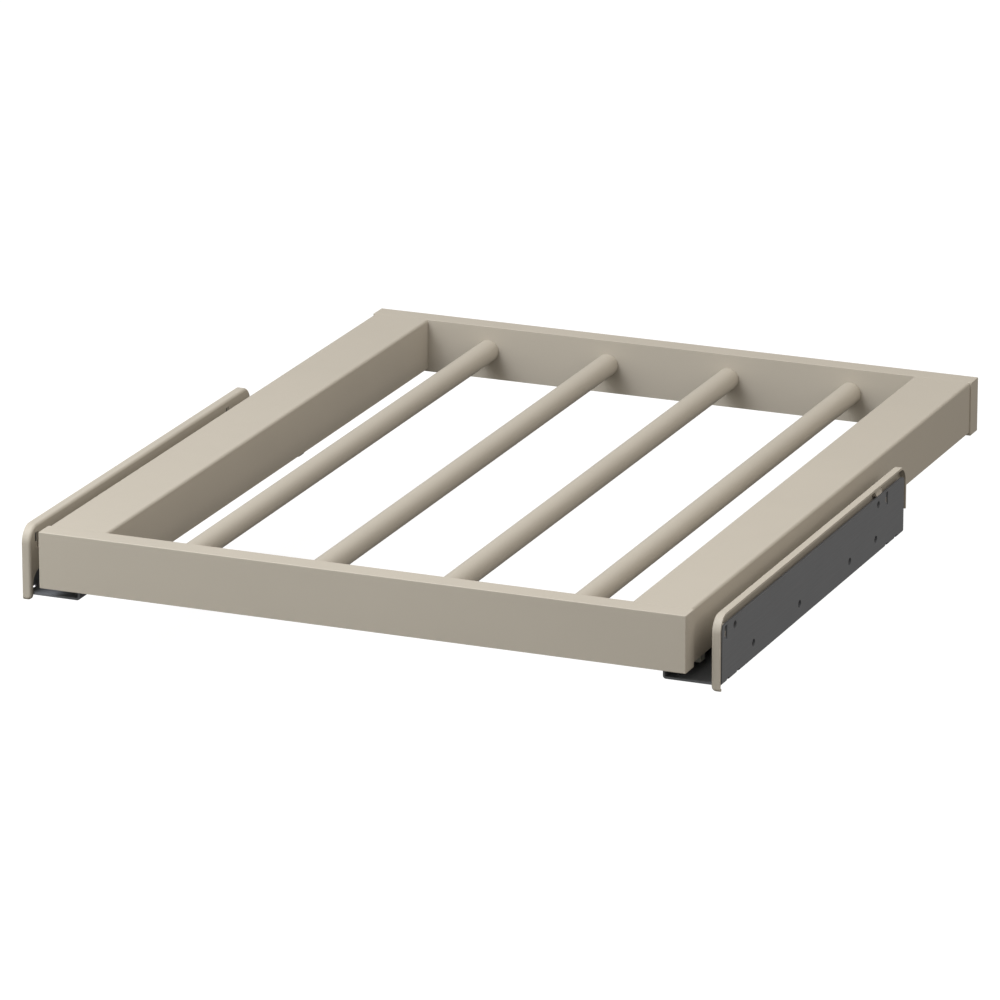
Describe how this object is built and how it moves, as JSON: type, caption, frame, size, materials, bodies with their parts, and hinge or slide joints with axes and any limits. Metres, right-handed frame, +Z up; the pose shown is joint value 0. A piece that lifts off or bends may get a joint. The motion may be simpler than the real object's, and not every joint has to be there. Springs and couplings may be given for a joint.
{
  "type": "pull-out trouser rack",
  "caption": "Pull-out wardrobe frame with round rods for hanging trousers, sliding on concealed ball runners behind slim side covers.",
  "frame": {"origin": "centre of the overall footprint at the height of the covers' feet", "axes": "+X to the right, +Y from the front rail to the rear rail, +Z up; the rack pulls out along -Y"},
  "size_m": [0.461, 0.533, 0.0497],
  "materials": {
    "rack_paint": "satin powder coat, warm grey beige",
    "cover_plastic": "fine matte moulding, warm grey beige",
    "dark_steel": "satin dark grey coat",
    "zinc_steel": "bright zinc plated",
    "cage_plastic": "natural moulded",
    "ball_steel": "polished",
    "clip_plastic": "fine matte moulding",
    "screw_steel": "zinc plated",
    "plug_aluminium": "turned",
    "damper_plastic": "matte",
    "damper_aluminium": "drawn",
    "damper_steel": "ground",
    "buffer_rubber": "matte"
  },
  "bodies": {
    "cabinet_side": {"runner_bracket_left": "dark_steel", "runner_cover_left": "cover_plastic", "fixed_track_left": "zinc_steel", "track_rivets_left": "zinc_steel", "end_buffer_left": "buffer_rubber", "damper_housing_left": "damper_plastic", "damper_cylinder_left": "damper_aluminium", "runner_bracket_right": "dark_steel", "runner_cover_right": "cover_plastic", "fixed_track_right": "zinc_steel", "track_rivets_right": "zinc_steel", "end_buffer_right": "buffer_rubber", "damper_housing_right": "damper_plastic", "damper_cylinder_right": "damper_aluminium"},
    "rack": {"clip_body_left": "clip_plastic", "clip_body_right": "clip_plastic", "clip_pin_left": "screw_steel", "clip_pin_right": "screw_steel", "clip_screws_left": "screw_steel", "clip_screws_right": "screw_steel", "frame_screws_front": "screw_steel", "frame_screws_rear": "screw_steel", "front_rail": "rack_paint", "rear_rail": "rack_paint", "rod_1": "rack_paint", "rod_2": "rack_paint", "rod_3": "rack_paint", "rod_4": "rack_paint", "rod_plugs_front": "plug_aluminium", "rod_plugs_rear": "plug_aluminium", "rod_screws_front": "screw_steel", "rod_screws_rear": "screw_steel", "side_rail_left": "rack_paint", "side_rail_right": "rack_paint", "sliding_member_left": "zinc_steel", "sliding_member_right": "zinc_steel", "support_channel_left": "zinc_steel", "support_channel_right": "zinc_steel", "threaded_plate_front_left": "zinc_steel", "threaded_plate_front_right": "zinc_steel", "threaded_plate_rear_left": "zinc_steel", "threaded_plate_rear_right": "zinc_steel"},
    "middle_left": {"middle_member_left": "zinc_steel"},
    "lower_cage_left": {"lower_cage_left": "cage_plastic", "lower_balls_left": "ball_steel"},
    "upper_cage_left": {"upper_cage_left": "cage_plastic", "upper_balls_left": "ball_steel"},
    "damper_rod_left": {"damper_rod_left": "damper_steel"},
    "clip_lever_left": {"clip_lever_left": "clip_plastic"},
    "middle_right": {"middle_member_right": "zinc_steel"},
    "lower_cage_right": {"lower_cage_right": "cage_plastic", "lower_balls_right": "ball_steel"},
    "upper_cage_right": {"upper_cage_right": "cage_plastic", "upper_balls_right": "ball_steel"},
    "damper_rod_right": {"damper_rod_right": "damper_steel"},
    "clip_lever_right": {"clip_lever_right": "clip_plastic"}
  },
  "joints": [
    {"name": "rack_slide", "type": "slide", "parent": "cabinet_side", "child": "rack", "axis": [0, -1, 0], "range_m": [0, 0.3]},
    {"name": "middle_slide_left", "type": "slide", "parent": "cabinet_side", "child": "middle_left", "axis": [0, -1, 0], "range_m": [0, 0.15]},
    {"name": "lower_cage_slide_left", "type": "slide", "parent": "cabinet_side", "child": "lower_cage_left", "axis": [0, -1, 0], "range_m": [0, 0.075]},
    {"name": "upper_cage_slide_left", "type": "slide", "parent": "cabinet_side", "child": "upper_cage_left", "axis": [0, -1, 0], "range_m": [0, 0.225]},
    {"name": "damper_rod_slide_left", "type": "slide", "parent": "cabinet_side", "child": "damper_rod_left", "axis": [0, -1, 0], "range_m": [0, 0.04]},
    {"name": "middle_slide_right", "type": "slide", "parent": "cabinet_side", "child": "middle_right", "axis": [0, -1, 0], "range_m": [0, 0.15]},
    {"name": "lower_cage_slide_right", "type": "slide", "parent": "cabinet_side", "child": "lower_cage_right", "axis": [0, -1, 0], "range_m": [0, 0.075]},
    {"name": "upper_cage_slide_right", "type": "slide", "parent": "cabinet_side", "child": "upper_cage_right", "axis": [0, -1, 0], "range_m": [0, 0.225]},
    {"name": "damper_rod_slide_right", "type": "slide", "parent": "cabinet_side", "child": "damper_rod_right", "axis": [0, -1, 0], "range_m": [0, 0.04]},
    {"name": "clip_lever_hinge_left", "type": "hinge", "parent": "rack", "child": "clip_lever_left", "pos_m": [-0.2056, -0.2211, 0.0168], "axis": [0, 0, -1], "range_deg": [0, 4.5], "stiffness_Nm_per_rad": 0.02},
    {"name": "clip_lever_hinge_right", "type": "hinge", "parent": "rack", "child": "clip_lever_right", "pos_m": [0.2056, -0.2211, 0.0168], "axis": [0, 0, 1], "range_deg": [0, 4.5], "stiffness_Nm_per_rad": 0.02}
  ],
  "couplings": [
    {"joint": "middle_slide_left", "follows": "rack_slide", "ratio": 0.5},
    {"joint": "lower_cage_slide_left", "follows": "rack_slide", "ratio": 0.25},
    {"joint": "upper_cage_slide_left", "follows": "rack_slide", "ratio": 0.75},
    {"joint": "damper_rod_slide_left", "follows": "rack_slide", "ratio": 0.13333},
    {"joint": "middle_slide_right", "follows": "rack_slide", "ratio": 0.5},
    {"joint": "lower_cage_slide_right", "follows": "rack_slide", "ratio": 0.25},
    {"joint": "upper_cage_slide_right", "follows": "rack_slide", "ratio": 0.75},
    {"joint": "damper_rod_slide_right", "follows": "rack_slide", "ratio": 0.13333}
  ]
}
